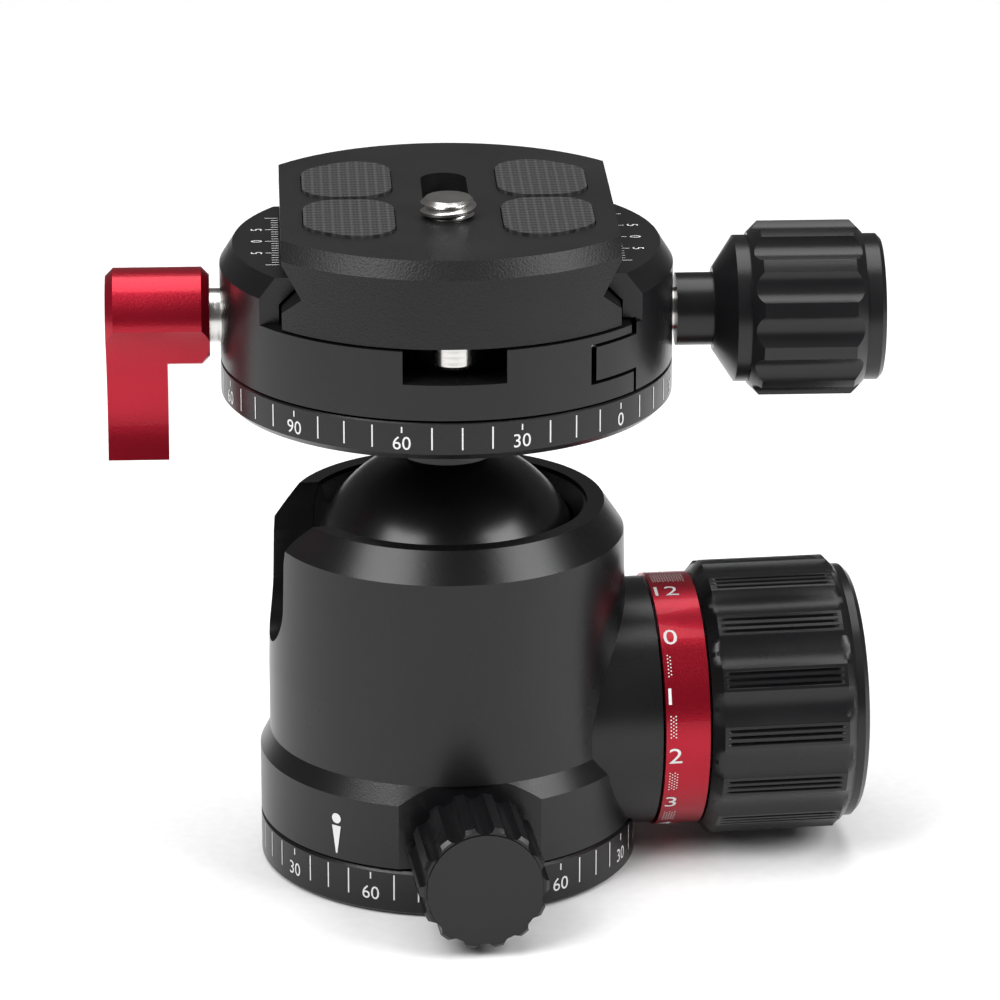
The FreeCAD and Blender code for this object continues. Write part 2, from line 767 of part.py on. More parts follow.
def edge_blank(name):
    # round blank with the sloping outer edge of the jaws
    lower = round_blank(name + "_lower", "clamp_bottom", "jaw_edge_height")
    upper = doc.addObject("Part::Cone", name + "_upper")
    upper.setExpression("Radius1", "Sheet.clamp_radius")
    upper.setExpression("Radius2", "Sheet.jaw_edge_radius")
    upper.setExpression("Height", "Sheet.jaw_top - Sheet.jaw_edge_height")
    upper.setExpression("Placement.Base.z", "Sheet.jaw_edge_height")
    blank = doc.addObject("Part::Fuse", name)
    blank.Base = lower
    blank.Tool = upper
    return blank


def bar(name, points, half_word):
    # a straight bar along Y whose end view is the given outline
    sketch = doc.addObject("Sketcher::SketchObject", name + "_outline")
    sketch.Placement = Placement(Vector(0, 0, 0), Rotation(Vector(1, 0, 0), 90))
    add_outline(sketch, points)
    doc.recompute()
    solid = doc.addObject("Part::Extrusion", name)
    solid.Base = sketch
    solid.DirMode = "Normal"
    solid.setExpression("LengthFwd", "Sheet." + half_word)
    solid.setExpression("LengthRev", "Sheet." + half_word)
    solid.Solid = True
    doc.recompute()
    return solid


def drill(name, radius_word, start, end, y="0", z="clamp_axis_height"):
    # round tool along X
    tool = doc.addObject("Part::Cylinder", name)
    tool.Placement = Placement(Vector(0, 0, 0), Rotation(Vector(0, 1, 0), 90))
    tool.setExpression("Radius", "Sheet." + radius_word)
    tool.setExpression("Height", "%s - (%s)" % (end, start))
    tool.setExpression("Placement.Base.x", start)
    if y != "0":
        tool.setExpression("Placement.Base.y", y)
    tool.setExpression("Placement.Base.z", "Sheet." + z)
    return tool


def post(name, radius_word, low, high, y="0"):
    # round tool along Z
    tool = doc.addObject("Part::Cylinder", name)
    tool.setExpression("Radius", "Sheet." + radius_word)
    tool.setExpression("Height", "%s - (%s)" % (high, low))
    tool.setExpression("Placement.Base.z", low)
    if y != "0":
        tool.setExpression("Placement.Base.y", y)
    return tool


def join(name, shapes):
    result = doc.addObject("Part::MultiFuse", name)
    result.Shapes = shapes
    doc.recompute()
    return result


def overlap(name, shapes):
    result = doc.addObject("Part::MultiCommon", name)
    result.Shapes = shapes
    doc.recompute()
    return result


def cut(name, base, tool):
    result = doc.addObject("Part::Cut", name)
    result.Base = base
    result.Tool = tool
    doc.recompute()
    return result


# Clamp body: floor, fixed jaw, slot for the moving jaw's tongue
def build_clamp():
    floor = bar("clamp_floor", [
        ("-clamp_radius", "clamp_bottom"), ("shelf_end", "clamp_bottom"), ("shelf_end", "slot_low"),
        ("slot_start", "slot_low"), ("slot_start", "slot_high"), ("strip_end", "slot_high"),
        ("strip_end", "floor_height"), ("-clamp_radius", "floor_height"),
    ], "clamp_radius")
    jaw = bar("fixed_jaw", [
        ("-clamp_radius", "clamp_axis_height"), ("-jaw_wall", "clamp_axis_height"),
        ("-jaw_wall", "lip_low_height"), ("-lip_tip", "lip_tip_height"), ("-lip_top", "jaw_top"),
        ("-clamp_radius", "jaw_top"),
    ], "jaw_half_length")
    solid = overlap("clamp_solid", [join("clamp_rough", [floor, jaw]), edge_blank("clamp_blank")])
    recess = bar("stop_recess", [
        ("-recess_half", "recess_floor"), ("recess_half", "recess_floor"),
        ("recess_half", "jaw_top"), ("-recess_half", "jaw_top"),
    ], "clamp_radius")
    keep = post("recess_keep", "recess_depth_start", "Sheet.clamp_bottom", "Sheet.jaw_top")
    tools = join("clamp_tools", [
        cut("recess_ends", recess, keep),
        post("clamp_bore", "clamp_bore_radius", "Sheet.clamp_bottom - 1", "Sheet.jaw_top"),
        post("clamp_cavity", "clamp_cavity_radius", "Sheet.web_top", "Sheet.jaw_top"),
        drill("screw_hole", "screw_bore_radius", "Sheet.clamp_cavity_radius - 1", "Sheet.clamp_radius + 1"),
        drill("shaft_hole", "lever_shaft_bore_radius", "-Sheet.clamp_radius - 1", "-Sheet.lever_step_bore"),
        drill("shoe_hole", "lever_screw_bore_radius", "-Sheet.clamp_radius", "-Sheet.clamp_cavity_radius + 1"),
        drill("pin_hole_back", "pin_radius", "Sheet.pin_start", "Sheet.slot_start + 1", "Sheet.pin_spread"),
        drill("pin_hole_front", "pin_radius", "Sheet.pin_start", "Sheet.slot_start + 1", "-Sheet.pin_spread"),
    ])
    body = cut("clamp_body", solid, tools)
    body.Label = "clamp_body"
    finish(body)


# Moving jaw with its tongue, bored for the screw and the guide pins
def build_jaw():
    block = bar("jaw_block", [
        ("jaw_block_start", "clamp_bottom"), ("clamp_radius", "clamp_bottom"),
        ("clamp_radius", "jaw_top"), ("lip_top", "jaw_top"), ("lip_tip", "lip_tip_height"),
        ("jaw_wall", "lip_low_height"), ("jaw_wall", "jaw_floor_gap"),
        ("jaw_block_start", "jaw_floor_gap"),
    ], "jaw_half_length")
    tongue = bar("jaw_tongue", [
        ("tongue_start", "tongue_low"), ("jaw_shell_end", "tongue_low"),
        ("jaw_shell_end", "tongue_high"), ("tongue_start", "tongue_high"),
    ], "clamp_radius")
    lower = bar("jaw_lower", [
        ("jaw_block_start", "clamp_bottom"), ("clamp_radius", "clamp_bottom"),
        ("clamp_radius", "floor_height"), ("jaw_block_start", "floor_height"),
    ], "clamp_radius")
    solid = overlap("jaw_solid", [join("jaw_rough", [block, tongue, lower]), edge_blank("jaw_blank")])
    tools = join("jaw_tools", [
        drill("jaw_screw_hole", "screw_bore_radius", "Sheet.tongue_start - 1", "Sheet.clamp_radius + 1"),
        drill("jaw_pin_back", "pin_bore_radius", "Sheet.tongue_start - 1", "Sheet.pin_end + Sheet.pin_play", "Sheet.pin_spread"),
        drill("jaw_pin_front", "pin_bore_radius", "Sheet.tongue_start - 1", "Sheet.pin_end + Sheet.pin_play", "-Sheet.pin_spread"),
    ])
    jaw = cut("moving_jaw", solid, tools)
    jaw.Label = "moving_jaw"
    finish(jaw)
    pins = join("guide_pins", [
        drill("pin_back", "pin_radius", "Sheet.pin_start", "Sheet.pin_end", "Sheet.pin_spread"),
        drill("pin_front", "pin_radius", "Sheet.pin_start", "Sheet.pin_end", "-Sheet.pin_spread"),
    ])
    pins.Label = "guide_pins"
    finish(pins)


# Clamp knob with its screw and end cap
def build_clamp_knob():
    screw = new_body("clamp_screw")
    about_x(screw, "shaft", [
        ("clamp_screw_start", "0"), ("clamp_screw_start", "clamp_screw_radius"),
        ("clamp_screw_end", "clamp_screw_radius"), ("clamp_screw_end", "0"),
    ])
    knob = new_body("clamp_knob")
    about_x(knob, "turned", [
        ("clamp_neck_start", "clamp_screw_radius"), ("clamp_neck_start", "clamp_neck_radius"),
        ("clamp_neck_end", "clamp_neck_radius"), ("clamp_neck_end", "clamp_flare_start_radius"),
        ("clamp_flare_end", "clamp_collar_radius"), ("clamp_collar_end", "clamp_collar_radius"),
        ("clamp_collar_end", "clamp_edge_radius"), ("clamp_edge_start", "clamp_knob_radius"),
        ("clamp_edge_end", "clamp_knob_radius"), ("clamp_knob_end", "clamp_edge_radius"),
        ("clamp_knob_end", "clamp_recess_radius"), ("clamp_cap_start", "clamp_recess_radius"),
        ("clamp_cap_start", "clamp_screw_radius"),
    ])
    flutes(knob, "clamp_flute_centre", "clamp_flute_radius", "clamp_flute_count", "clamp_collar_end", "clamp_knob_end")
    cap = new_body("clamp_knob_cap")
    about_x(cap, "cap", [
        ("clamp_cap_start", "0"), ("clamp_cap_start", "clamp_recess_radius"),
        ("clamp_knob_end", "clamp_recess_radius"), ("clamp_knob_end", "clamp_cap_radius"),
        ("clamp_cap_edge_end", "clamp_cap_radius"), ("clamp_cap_end", "clamp_cap_edge_radius"),
        ("clamp_cap_end", "0"),
    ])
    for body in (screw, knob, cap):
        place(body, None, 0, "clamp_axis_height")
        finish(body)


# Panorama lock: brass shoe, steel shaft and the red lever
def build_lever():
    shoe = new_body("lever_brake_shoe")
    about_x(shoe, "shoe", [
        ("lever_shoe_start", "0"), ("lever_shoe_start", "lever_shoe_radius"),
        ("lever_shoe_end", "lever_shoe_radius"), ("lever_shoe_end", "0"),
    ])
    shaft = new_body("lever_shaft")
    about_x(shaft, "shaft", [
        ("lever_shaft_inner", "0"), ("lever_shaft_inner", "lever_screw_radius"),
        ("lever_step", "lever_screw_radius"), ("lever_step", "lever_shaft_radius"),
        ("lever_shaft_outer", "lever_shaft_radius"), ("lever_shaft_outer", "0"),
    ])
    lever = new_body("pan_lever")
    about_x(lever, "barrel", [
        ("lever_inner", "lever_shaft_radius"), ("lever_inner", "lever_edge_radius"),
        ("lever_edge_inner", "lever_barrel_radius"), ("lever_edge_outer", "lever_barrel_radius"),
        ("lever_outer", "lever_edge_radius"), ("lever_outer", "0"), ("lever_shaft_outer", "0"),
        ("lever_shaft_outer", "lever_shaft_radius"),
    ])
    sketch = new_sketch(lever, "tail_outline", "YZ_Plane", "lever_tail_inner")
    add_outline(sketch, [
        ("lever_tail_half", "-lever_shaft_radius"), ("lever_lip_half", "-lever_tail_length"),
        ("lever_lip_back", "-lever_tail_length"), ("-lever_tail_back", "-lever_tail_mid"),
        ("-lever_tail_half", "-lever_shaft_radius"),
    ])
    pad(lever, sketch, "tail", "Sheet.lever_outer - Sheet.lever_tail_inner")
    sketch = new_sketch(lever, "scoop_circle", "YZ_Plane", "lever_inner")
    add_circle(sketch, "lever_scoop_across", "-lever_scoop_drop", "lever_scoop_radius")
    pocket(lever, sketch, "scoop", "Sheet.lever_outer - Sheet.lever_inner + 1", reverse=True)
    for body in (shoe, shaft, lever):
        place(body, None, 180, "clamp_axis_height")
        finish(body)


# Quick release plate with camera slot, screw well, pad pockets and stop screw holes
def build_plate():
    bar_solid = bar("plate_bar", [
        ("-plate_half_width", "plate_bottom"), ("plate_half_width", "plate_bottom"),
        ("plate_half_width", "plate_flange_top"), ("plate_waist", "plate_waist_height"),
        ("plate_half_width", "plate_shoulder_height"), ("plate_half_width", "plate_top"),
        ("-plate_half_width", "plate_top"), ("-plate_half_width", "plate_shoulder_height"),
        ("-plate_waist", "plate_waist_height"), ("-plate_half_width", "plate_flange_top"),
    ], "plate_radius")
    lower = post("plate_round", "plate_radius", "Sheet.plate_bottom", "Sheet.plate_edge_height")
    upper = doc.addObject("Part::Cone", "plate_edge")
    upper.setExpression("Radius1", "Sheet.plate_radius")
    upper.setExpression("Radius2", "Sheet.plate_top_radius")
    upper.setExpression("Height", "Sheet.plate_top - Sheet.plate_edge_height")
    upper.setExpression("Placement.Base.z", "Sheet.plate_edge_height")
    solid = overlap("plate_solid", [bar_solid, join("plate_blank", [lower, upper])])
    tools = join("plate_tools", [
        long_hole("camera_slot", "camera_slot_half", "camera_slot_back", "camera_slot_front", "over_plate"),
        long_hole("camera_well", "camera_well_half", "camera_well_back", "camera_well_front", "camera_well_top"),
        pad_shapes("pad_pocket", "pad_gap", "pad_floor", "pad_top"),
        post("stop_hole_front", "stop_thread_radius", "Sheet.plate_bottom - 1", "Sheet.stop_thread_top", "-Sheet.stop_place"),
        post("stop_hole_back", "stop_thread_radius", "Sheet.plate_bottom - 1", "Sheet.stop_thread_top", "Sheet.stop_place"),
    ])
    plate = cut("plate", solid, tools)
    plate.Label = "plate"
    finish(plate)
    pads = pad_shapes("plate_pads", None, "pad_floor", "pad_top")
    pads.Label = "plate_pads"
    finish(pads)


def long_hole(name, half, back, front, high):
    # slot with round ends along Y, cut up from below the plate
    low = "Sheet.plate_bottom - Sheet.tool_reach"
    reach = "Sheet.%s - (%s)" % (high, low)
    back_y = "Sheet.%s - Sheet.%s" % (back, half)
    front_y = "Sheet.%s - Sheet.%s" % (half, front)
    middle = doc.addObject("Part::Box", name + "_middle")
    middle.setExpression("Width", "(%s) - (%s)" % (back_y, front_y))
    middle.setExpression("Length", "2 * Sheet." + half)
    middle.setExpression("Height", reach)
    middle.setExpression("Placement.Base.x", "-Sheet." + half)
    middle.setExpression("Placement.Base.y", front_y)
    middle.setExpression("Placement.Base.z", low)
    top = "Sheet." + high
    ends = [
        post(name + "_back", half, low, top, back_y),
        post(name + "_front", half, low, top, front_y),
    ]
    return join(name, [middle] + ends)


def pad_shapes(name, gap, low, high):
    # four rounded pads, bowed where they follow the plate's round ends
    grow = "0" if gap is None else "Sheet." + gap
    box = doc.addObject("Part::Box", name + "_box")
    box.setExpression("Length", "Sheet.pad_outer - Sheet.pad_inner + 2 * (%s)" % grow)
    box.setExpression("Width", "Sheet.plate_radius - Sheet.pad_near + (%s)" % grow)
    box.setExpression("Height", "Sheet.%s - Sheet.%s" % (high, low))
    box.setExpression("Placement.Base.x", "Sheet.pad_inner - (%s)" % grow)
    box.setExpression("Placement.Base.y", "Sheet.pad_near - (%s)" % grow)
    box.setExpression("Placement.Base.z", "Sheet." + low)
    bow = doc.addObject("Part::Cylinder", name + "_bow")
    bow.setExpression("Radius", "Sheet.pad_bow_radius + (%s)" % grow)
    bow.setExpression("Height", "Sheet.%s - Sheet.%s" % (high, low))
    bow.setExpression("Placement.Base.y", "-Sheet.pad_bow_shift")
    bow.setExpression("Placement.Base.z", "Sheet." + low)
    single = overlap(name + "_single", [box, bow])
    edges = []
    for i, edge in enumerate(single.Shape.Edges):
        ends = [v.Point for v in edge.Vertexes]
        if len(ends) == 2 and abs(ends[0].x - ends[1].x) < 1e-6 and abs(ends[0].y - ends[1].y) < 1e-6:
            edges.append((i + 1, value("pad_corner"), value("pad_corner")))
    rounded = doc.addObject("Part::Fillet", name + "_rounded")
    rounded.Base = single
    rounded.Edges = edges
    doc.recompute()
    right = Vector(1, 0, 0)
    away = Vector(0, 1, 0)
    pair = group(name + "_pair", [rounded, mirrored(name + "_mirror_x", rounded, right)])
    return group(name, [pair, mirrored(name + "_mirror_y", pair, away)])


def mirrored(name, source, normal):
    copy = doc.addObject("Part::Mirroring", name)
    copy.Source = source
    copy.Normal = normal
    return copy


def group(name, links):
    result = doc.addObject("Part::Compound", name)
    result.Links = links
    doc.recompute()
    return result


# Camera screw, its clip and the two stop screws
def build_screws():
    screw = new_body("camera_screw")
    about_z(screw, "screw", [
        ("0", "camera_head_bottom"), ("camera_head_radius", "camera_head_bottom"),
        ("camera_head_radius", "camera_head_top"), ("undercut_radius", "camera_head_top"),
        ("undercut_radius", "thread_bottom"), ("thread_low_radius", "thread_bottom"),
        ("thread_radius", "thread_edge_low"), ("thread_radius", "thread_edge_top"),
        ("thread_edge_radius", "thread_top"), ("0", "thread_top"),
    ])
    sketch = new_sketch(screw, "driver_outline", "XY_Plane", "camera_head_bottom")
    add_outline(sketch, [
        ("-camera_head_radius", "-camera_driver_half"), ("camera_head_radius", "-camera_driver_half"),
        ("camera_head_radius", "camera_driver_half"), ("-camera_head_radius", "camera_driver_half"),
    ])
    pocket(screw, sketch, "driver_slot", "Sheet.camera_driver_depth", reverse=True)
    screw.setExpression("Placement.Base.y", "-Sheet.camera_place")
    finish(screw)
    clip = new_body("screw_clip")
    about_z(clip, "clip", [
        ("clip_bore_radius", "clip_bottom"), ("clip_radius", "clip_bottom"),
        ("clip_radius", "clip_top"), ("clip_bore_radius", "clip_top"),
    ])
    clip.setExpression("Placement.Base.y", "-Sheet.camera_place")
    finish(clip)
    stops = []
    for mark, side in (("front", "-"), ("back", "")):
        stop = new_body("stop_" + mark)
        about_z(stop, "stop", [
            ("0", "stop_head_low"), ("stop_edge_radius", "stop_head_low"),
            ("stop_head_radius", "stop_edge_low"), ("stop_head_radius", "plate_bottom"),
            ("stop_thread_radius", "plate_bottom"), ("stop_thread_radius", "stop_thread_top"),
            ("0", "stop_thread_top"),
        ])
        stop.setExpression("Placement.Base.y", side + "Sheet.stop_place")
        stops.append(stop)
    screws = group("stop_screws", stops)
    screws.Label = "stop_screws"
    finish(screws)


build_base()
build_housing()
build_ring()
build_ball()
build_seat()
build_wedge()
build_main_lock()
build_pan_lock()
build_disc()
build_clamp()
build_jaw()
build_clamp_knob()
build_lever()
build_plate()
build_screws()
doc.recompute()

os.makedirs("parts", exist_ok=True)
for item in parts:
    if any(word in item.State for word in ("Invalid", "Error")):
        raise ValueError("state of " + item.Label)
    if item.Shape.isNull() or not item.Shape.isValid():
        raise ValueError("shape of " + item.Label)
    item.Shape.exportStep("parts/" + item.Label + ".step")
    print(item.Label, round(item.Shape.Volume, 1), len(item.Shape.Solids), len(item.Shape.Faces))
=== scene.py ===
import json
import math

import bpy
import numpy as np
from mathutils import Matrix, Vector


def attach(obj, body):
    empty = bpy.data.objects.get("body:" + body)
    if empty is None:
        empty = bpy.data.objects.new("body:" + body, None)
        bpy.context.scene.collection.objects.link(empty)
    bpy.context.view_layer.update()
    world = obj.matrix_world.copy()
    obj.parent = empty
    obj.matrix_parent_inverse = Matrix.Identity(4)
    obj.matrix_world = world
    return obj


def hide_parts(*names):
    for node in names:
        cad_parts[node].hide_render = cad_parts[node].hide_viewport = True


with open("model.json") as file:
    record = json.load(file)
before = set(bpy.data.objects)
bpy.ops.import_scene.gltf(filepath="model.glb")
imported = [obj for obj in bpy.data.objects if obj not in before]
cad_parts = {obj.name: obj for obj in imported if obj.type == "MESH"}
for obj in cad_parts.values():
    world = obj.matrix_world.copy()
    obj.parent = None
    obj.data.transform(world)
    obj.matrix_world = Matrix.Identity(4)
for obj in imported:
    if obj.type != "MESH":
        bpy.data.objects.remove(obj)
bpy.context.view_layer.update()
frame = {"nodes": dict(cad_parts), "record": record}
nodes = frame["nodes"]
mm = 0.001
print("frame loaded")


# shader maths on one socket, with the usual signs
class Term:
    def __init__(self, tree, socket):
        self.tree = tree
        self.socket = socket

    def math(self, operation, *others):
        node = self.tree.nodes.new("ShaderNodeMath")
        node.operation = operation
        for slot, item in enumerate((self,) + others):
            if isinstance(item, Term):
                self.tree.links.new(item.socket, node.inputs[slot])
            else:
                node.inputs[slot].default_value = item
        return Term(self.tree, node.outputs[0])

    def __add__(self, other):
        return self.math("ADD", other)

    def __radd__(self, other):
        return self.math("ADD", other)

    def __sub__(self, other):
        return self.math("SUBTRACT", other)

    def __mul__(self, other):
        return self.math("MULTIPLY", other)


class Surface:
    def __init__(self, name):
        self.material = bpy.data.materials.new(name)
        self.material.use_nodes = True
        self.tree = self.material.node_tree
        self.shader = self.tree.nodes["Principled BSDF"]
        self.place = self.node("ShaderNodeTexCoord").outputs["Object"]

    def node(self, kind, settings=None, inputs=None):
        made = self.tree.nodes.new(kind)
        for key, value in (settings or {}).items():
            setattr(made, key, value)
        for key, value in (inputs or {}).items():
            if isinstance(value, Term):
                self.tree.links.new(value.socket, made.inputs[key])
            elif isinstance(value, bpy.types.NodeSocket):
                self.tree.links.new(value, made.inputs[key])
            else:
                made.inputs[key].default_value = value
        return made

    def noise(self, scale, detail=3.0, vector=None):
        made = self.node("ShaderNodeTexNoise", None, {
            "Vector": vector or self.place, "Scale": scale, "Detail": detail,
        })
        return Term(self.tree, made.outputs["Fac"])

    def parts(self):
        made = self.node("ShaderNodeSeparateXYZ", None, {"Vector": self.place})
        return [Term(self.tree, made.outputs[i]) for i in range(3)]

    def tint(self, dark, light, factor):
        made = self.node("ShaderNodeMix", {"data_type": "RGBA"}, {
            0: factor, 6: dark, 7: light,
        })
        self.tree.links.new(made.outputs[2], self.shader.inputs["Base Color"])

    def varying(self, socket, term):
        self.tree.links.new(term.socket, self.shader.inputs[socket])

    def bump(self, height, distance, strength=1.0):
        made = self.node("ShaderNodeBump", None, {
            "Height": height, "Distance": distance, "Strength": strength,
        })
        self.tree.links.new(made.outputs["Normal"], self.shader.inputs["Normal"])


# metal: colour and roughness drift with a slow noise, the bump is a fine grain
def metal(name, dark, light, metallic, rough, spread, grain, depth, coat=0.0, shine=0.5):
    made = Surface(name)
    slow = made.noise(90.0, 2.0)
    fine = made.noise(grain, 2.0)
    made.tint(dark, light, slow)
    made.shader.inputs["Metallic"].default_value = metallic
    made.shader.inputs["Coat Weight"].default_value = coat
    made.shader.inputs["Specular IOR Level"].default_value = shine
    made.varying("Roughness", rough + (slow - 0.5) * spread)
    made.bump(fine, depth)
    return made


# turned metal: fine rings follow the distance along the turning axis
def turned(name, dark, light, metallic, rough, axis):
    made = Surface(name)
    along = made.parts()[axis]
    rings = (along * 9000.0).math("SINE") * 0.5 + 0.5
    slow = made.noise(120.0, 2.0)
    made.tint(dark, light, slow)
    made.shader.inputs["Metallic"].default_value = metallic
    made.varying("Roughness", rough + (slow - 0.5) * 0.12)
    made.bump(rings, 0.00001)
    return made


# pad: two crossing sine ridges at 45 degrees give raised diamonds
padRidge = 3000.0


def gripPad(name):
    made = Surface(name)
    x, y = made.parts()[:2]
    first = ((x + y) * padRidge).math("SINE")
    second = ((x - y) * padRidge).math("SINE")
    diamonds = (first * second) * 0.5 + 0.5
    # colour follows the bump height: darker in the hollows between the diamonds and lighter on their
    # tops, which is painted shade
    made.tint((0.006, 0.006, 0.0065, 1), (0.045, 0.045, 0.047, 1), diamonds)
    made.varying("Roughness", 0.62 + diamonds * 0.2)
    made.bump(diamonds, 0.0006)
    return made


# paint: flat white with a faint mottle
def paint(name, shade):
    made = Surface(name)
    slow = made.noise(700.0, 2.0)
    made.tint((shade * 0.9, shade * 0.9, shade * 0.9, 1), (shade, shade, shade, 1), slow)
    made.varying("Roughness", 0.5 + slow * 0.15)
    made.bump(slow, 0.000005)
    return made


black = (0.004, 0.004, 0.0045, 1)
satin = metal(
    "blackSatin", black, (0.009, 0.009, 0.010, 1), metallic=0.05, rough=0.28, spread=0.08,
    grain=5200.0, depth=0.000012, shine=0.36,
)
blasted = metal(
    "blackBlasted", (0.006, 0.006, 0.0065, 1), (0.013, 0.013, 0.014, 1), metallic=0.05, rough=0.40,
    spread=0.12, grain=3800.0, depth=0.00004, shine=0.30,
)
ballBlack = metal(
    "blackBall", black, (0.008, 0.008, 0.009, 1), metallic=0.1, rough=0.26, spread=0.06,
    grain=6500.0, depth=0.000006,
)
redMetal = metal(
    "redAnodised", (0.30, 0.003, 0.013, 1), (0.42, 0.007, 0.026, 1), metallic=0.75, rough=0.30,
    spread=0.10, grain=4200.0, depth=0.000025, coat=0.15,
)
steelDark = (0.52, 0.51, 0.49, 1)
steelLight = (0.68, 0.67, 0.65, 1)
steelZ = turned("steelUpright", steelDark, steelLight, 1.0, 0.26, 2)
steelX = turned("steelAcross", steelDark, steelLight, 1.0, 0.26, 0)
brassMetal = turned("brassTurned", (0.60, 0.40, 0.15, 1), (0.74, 0.52, 0.22, 1), 1.0, 0.32, 2)
rubber = gripPad("padRubber")
white = paint("markWhite", 0.72)

finishes = {
    "steel": steelZ, "brass": brassMetal, "pad_rubber": rubber, "black_satin": satin,
    "black_blasted": blasted, "black_ball": ballBlack, "red_anodised": redMetal,
}
acrossNodes = ["lever_shaft", "guide_pins", "clamp_screw", "lock_spindle"]
for row in frame["record"]["subparts"]:
    piece = nodes[row["node"]]
    chosen = steelX if row["node"] in acrossNodes else finishes[row["material_slot"]]
    piece.data.materials.clear()
    piece.data.materials.append(chosen.material)
print("materials set")


def addMesh(name, points, faces, surface, body):
    mesh = bpy.data.meshes.new(name)
    rows = [tuple(int(i) for i in face) for face in faces]
    mesh.from_pydata(np.asarray(points, float).tolist(), [], rows)
    mesh.update()
    mesh.materials.append(surface.material)
    made = bpy.data.objects.new(name, mesh)
    bpy.context.scene.collection.objects.link(made)
    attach(made, body)
    return made


# flat marks: every mark is a rectangle given by centre, width and height
def rectangles(rows):
    rows = np.asarray(rows, float)
    corners = np.array([[-0.5, -0.5], [0.5, -0.5], [0.5, 0.5], [-0.5, 0.5]])
    points = rows[:, None, 0:2] + corners[None] * rows[:, None, 2:4]
    faces = np.arange(len(rows) * 4).reshape(-1, 4)
    return points.reshape(-1, 2), faces.tolist()


# a number as a flat mesh, centred, then turned by quarter turns
def numberShape(text, height, turnBy, across, up, wide=1.0):
    curve = bpy.data.curves.new("digits", "FONT")
    curve.body = text
    curve.size = height / 0.7
    curve.align_x = "CENTER"
    curve.align_y = "CENTER"
    curve.resolution_u = 3
    holder = bpy.data.objects.new("digits", curve)
    bpy.context.scene.collection.objects.link(holder)
    bpy.context.view_layer.update()
    mesh = bpy.data.meshes.new_from_object(holder)
    flat = np.zeros(len(mesh.vertices) * 3)
    mesh.vertices.foreach_get("co", flat)
    flat = flat.reshape(-1, 3)[:, :2]
    faces = [list(p.vertices) for p in mesh.polygons]
    bpy.data.objects.remove(holder)
    flat = (flat - (flat.min(0) + flat.max(0)) / 2) * [wide, 1.0]
    c, s = math.cos(turnBy), math.sin(turnBy)
    x, y = flat[:, 0], flat[:, 1]
    placed = np.stack([x * c - y * s, x * s + y * c], 1)
    return placed + np.array([across, up]), faces


def gather(shapes):
    points, faces, start = [], [], 0
    for flat, rows in shapes:
        points.append(flat)
        faces += [[i + start for i in row] for row in rows]
        start += len(flat)
    return np.concatenate(points), faces


# wrap round an upright cylinder: across is arc length, azimuth 0 faces -Y
def onUpright(flat, radius):
    angle = flat[:, 0] / radius
    return np.stack([radius * np.sin(angle), -radius * np.cos(angle), flat[:, 1]], 1) * mm


# the main axis lies along X, turned a little, at its own height
mainAxis = {"height": 17.2, "turn": math.radians(5.0)}


def aboutMainAxis(along, side, up):
    c, s = math.cos(mainAxis["turn"]), math.sin(mainAxis["turn"])
    points = np.stack([along * c - side * s, along * s + side * c, mainAxis["height"] + up], -1)
    return points.reshape(-1, 3) * mm


# wrap round the main axis: across is distance along it, up is arc length
def onMainAxis(flat, radius):
    angle = flat[:, 1] / radius
    return aboutMainAxis(flat[:, 0], -radius * np.cos(angle), radius * np.sin(angle))


# a ride-along set of white marks
def addMarks(name, points, faces, body, slot="black_satin"):
    return addMesh(name, points, faces, white, body)


# a degree dial: ticks all round, and a number at every few of them
def dialMarks(dial):
    shapes = []
    ticks = []
    for k in range(dial["count"]):
        azimuth = dial["zero"] - k * dial["step"]
        arc = math.radians(azimuth) * dial["radius"]
        labelled = k % dial["every"] == 0
        low = dial["labelTickLow"] if labelled else dial["tickLow"]
        ticks.append([arc, (low + dial["tickHigh"]) / 2, dial["tickWidth"], dial["tickHigh"] - low])
        if labelled:
            number = dial["numbers"][(k // dial["every"]) % len(dial["numbers"])]
            shapes.append(numberShape(number, dial["digit"], 0.0, arc, dial["digitPlace"]))
    shapes.append(rectangles(ticks))
    flat, faces = gather(shapes)
    return onUpright(flat, dial["radius"] + dial["lift"]), faces


dialNumbers = ["0", "30", "60", "90", "60", "30"]
discDial = {
    "radius": 26.0, "lift": 0.04, "zero": 46.8, "step": 7.5, "every": 4, "count": 48,
    "tickLow": 57.9, "tickHigh": 60.5, "labelTickLow": 59.8, "tickWidth": 0.17,
    "digit": 1.55, "digitPlace": 58.6, "numbers": dialNumbers,
}
addMarks("disc_scale_marks", *dialMarks(discDial), "stem")

baseDial = {
    "radius": 22.1, "lift": 0.04, "zero": 94.0, "step": 7.5, "every": 4, "count": 48,
    "tickLow": 1.7, "tickHigh": 4.8, "labelTickLow": 4.0, "tickWidth": 0.17,
    "digit": 1.6, "digitPlace": 2.3, "numbers": dialNumbers,
}
addMarks("base_scale_marks", *dialMarks(baseDial), "base")

# index mark on the skirt: a dot over a wedge that narrows downward
indexMark = {
    "radius": 22.1, "lift": 0.05, "azimuth": -37.7, "dot": 0.62, "dotHeight": 10.6, "dotSteps": 24,
    "top": 9.7, "low": 6.3, "half": 0.62, "tip": 0.1,
}
turnSteps = np.linspace(0, 2 * math.pi, indexMark["dotSteps"], endpoint=False)
middle = math.radians(indexMark["azimuth"]) * indexMark["radius"]
dot = indexMark["dot"] * np.stack([np.cos(turnSteps), np.sin(turnSteps)], 1)
dot = dot + [middle, indexMark["dotHeight"]]
wedge = np.array([
    [middle - indexMark["tip"], indexMark["low"]], [middle + indexMark["tip"], indexMark["low"]],
    [middle + indexMark["half"], indexMark["top"]], [middle - indexMark["half"], indexMark["top"]],
])
flat, faces = gather([(dot, [list(range(len(dot)))]), (wedge, [[0, 1, 2, 3]])])
